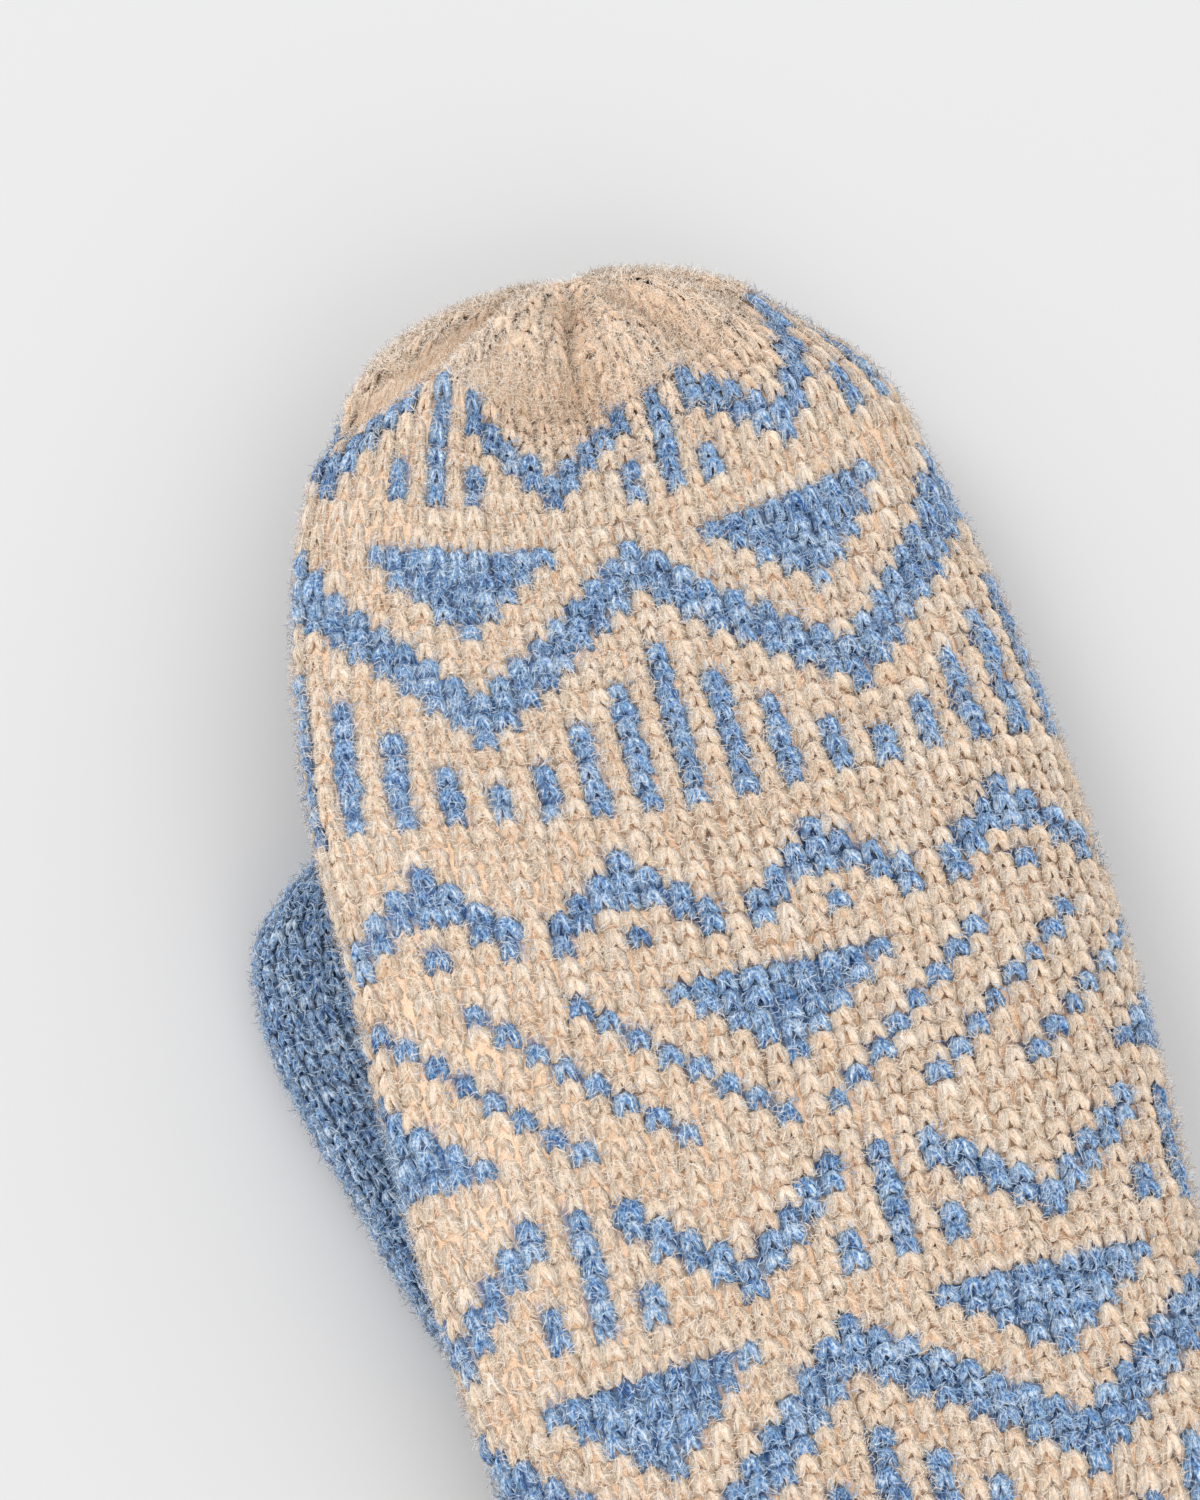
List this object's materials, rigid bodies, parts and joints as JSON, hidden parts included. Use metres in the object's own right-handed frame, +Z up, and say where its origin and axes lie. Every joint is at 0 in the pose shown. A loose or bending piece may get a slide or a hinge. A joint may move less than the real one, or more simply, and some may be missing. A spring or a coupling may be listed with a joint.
{
  "type": "fleece lined mitten",
  "caption": "Knitted mitten for a right hand, lying palm down: patterned hand with a gathered tip, plain thumb under the palm, ribbed cuff and fleece lining.",
  "frame": {"origin": "under the middle of the mitten's bounding box, on the surface it lies on", "axes": "+Y from the cuff to the fingertip end, +Z up out of the back of the hand, +X away from the thumb"},
  "size_m": [0.1178, 0.27, 0.0339],
  "materials": {
    "cream_and_blue_knit": "brushed two-colour yarn, cream with mid-blue figures",
    "blue_knit": "brushed yarn, plain mid-blue",
    "blue_rib": "brushed yarn in a two by two rib",
    "fleece": "soft matt pile"
  },
  "bodies": {
    "root": {"hand_shell": "cream_and_blue_knit", "thumb": "blue_knit", "ribbed_cuff": "blue_rib", "fleece_lining": "fleece"}
  },
  "joints": []
}
